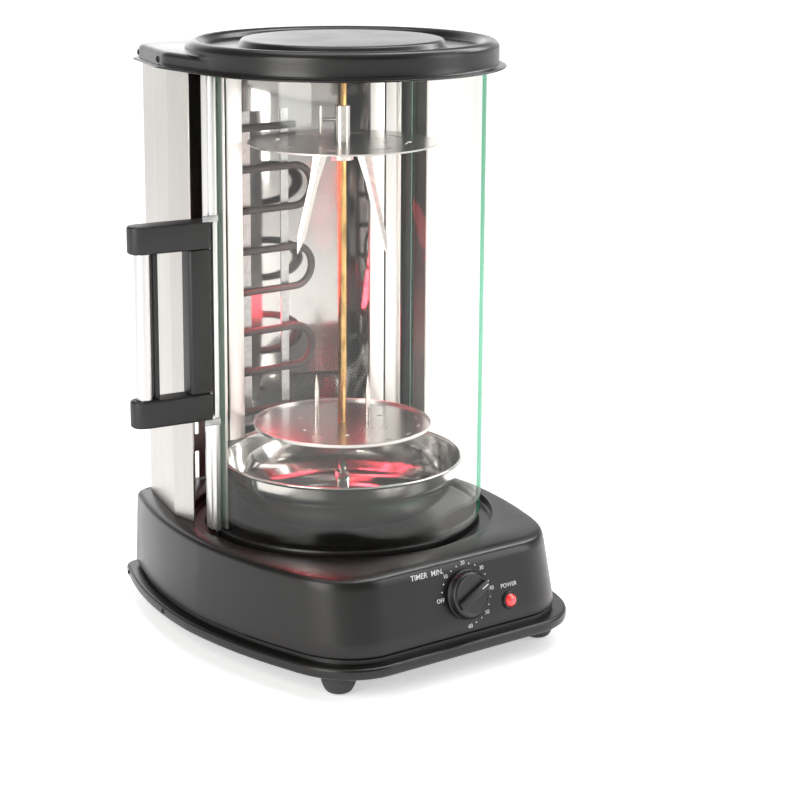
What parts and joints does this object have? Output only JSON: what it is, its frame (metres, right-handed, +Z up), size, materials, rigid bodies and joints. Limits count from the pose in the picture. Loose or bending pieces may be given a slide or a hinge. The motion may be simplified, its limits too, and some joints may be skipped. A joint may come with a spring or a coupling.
{
  "type": "vertical rotisserie oven",
  "caption": "Upright countertop rotisserie oven with a curved glass door that slides round the spit, a vertical spit with plate and prongs, drip bowl, heating element and timer knob.",
  "frame": {"origin": "on the table, under the middle of the whole oven, handle included", "axes": "+Z up, front with the timer knob towards -Y, +X to the right of someone facing the front"},
  "size_m": [0.349, 0.3386, 0.5018],
  "materials": {
    "black_paint": "satin",
    "black_plastic": "fine texture",
    "foot_rubber": "matte",
    "brushed_steel": "brushed",
    "polished_steel": "polished",
    "aluminium": "satin",
    "spit_metal": "polished",
    "zinc_steel": "plated",
    "element_sheath": "heat darkened",
    "nylon": "matte",
    "clear_glass": "clear",
    "red_lens": "gloss"
  },
  "bodies": {
    "oven": {"base_shell": "black_paint", "bottom_tray": "black_paint", "foot_front_left": "foot_rubber", "foot_front_right": "foot_rubber", "foot_rear_left": "foot_rubber", "foot_rear_right": "foot_rubber", "drive_motor": "zinc_steel", "motor_gearbox": "zinc_steel", "timer_body": "nylon", "cord_gland": "black_plastic", "lamp_bezel": "black_plastic", "lamp_lens": "red_lens", "rear_housing": "brushed_steel", "slot_liner": "polished_steel", "reflector": "polished_steel", "inner_strip_left": "aluminium", "outer_strip_left": "aluminium", "inner_strip_right": "aluminium", "outer_strip_right": "aluminium", "heating_element": "element_sheath", "element_bracket_left": "zinc_steel", "element_bracket_right": "zinc_steel", "lid": "black_paint", "ceiling_plate": "polished_steel", "top_bearing": "nylon", "bearing_bridge": "zinc_steel"},
    "door": {"door_glass": "clear_glass", "door_frame_profile": "aluminium", "door_lower_guide": "nylon", "door_tail_profile": "aluminium", "handle_upper_arm": "black_plastic", "handle_lower_arm": "black_plastic", "handle_back_plate": "black_plastic", "handle_grip_core": "black_plastic", "handle_grip_tube": "brushed_steel"},
    "spit": {"drive_shaft": "zinc_steel", "lower_plate": "polished_steel", "spit_rod": "spit_metal", "lower_spike_1": "polished_steel", "lower_spike_2": "polished_steel"},
    "meat_clamp": {"clamp_hub": "polished_steel", "upper_disc": "polished_steel", "prong_left": "polished_steel", "prong_right": "polished_steel"},
    "clamp_screw": {"clamp_screw": "zinc_steel"},
    "timer_knob": {"timer_knob": "black_plastic", "timer_spindle": "zinc_steel"},
    "drip_bowl": {"drip_bowl": "polished_steel"}
  },
  "joints": [
    {"name": "door_slides_round", "type": "hinge", "parent": "oven", "child": "door", "pos_m": [0.02016, 0.0113, 0.29], "axis": [0, 0, 1], "range_deg": [0, 130]},
    {"name": "spit_turns", "type": "hinge", "parent": "oven", "child": "spit", "pos_m": [0.02016, 0.0113, 0.29], "axis": [0, 0, 1], "continuous": true},
    {"name": "clamp_slides_on_rod", "type": "slide", "parent": "spit", "child": "meat_clamp", "axis": [0, 0, 1], "range_m": [-0.09, 0.018]},
    {"name": "clamp_screw_turns", "type": "hinge", "parent": "meat_clamp", "child": "clamp_screw", "pos_m": [0.02016, 0.0113, 0.434], "axis": [-0.8832, 0.4691, 0], "range_deg": [-180, 180]},
    {"name": "timer_turns", "type": "hinge", "parent": "oven", "child": "timer_knob", "pos_m": [0.02566, -0.15272, 0.0629], "axis": [0, 0.9744, -0.225], "range_deg": [-155, 115]},
    {"name": "bowl_lifts", "type": "slide", "parent": "oven", "child": "drip_bowl", "axis": [0, 0, 1], "range_m": [0, 0.01]}
  ]
}
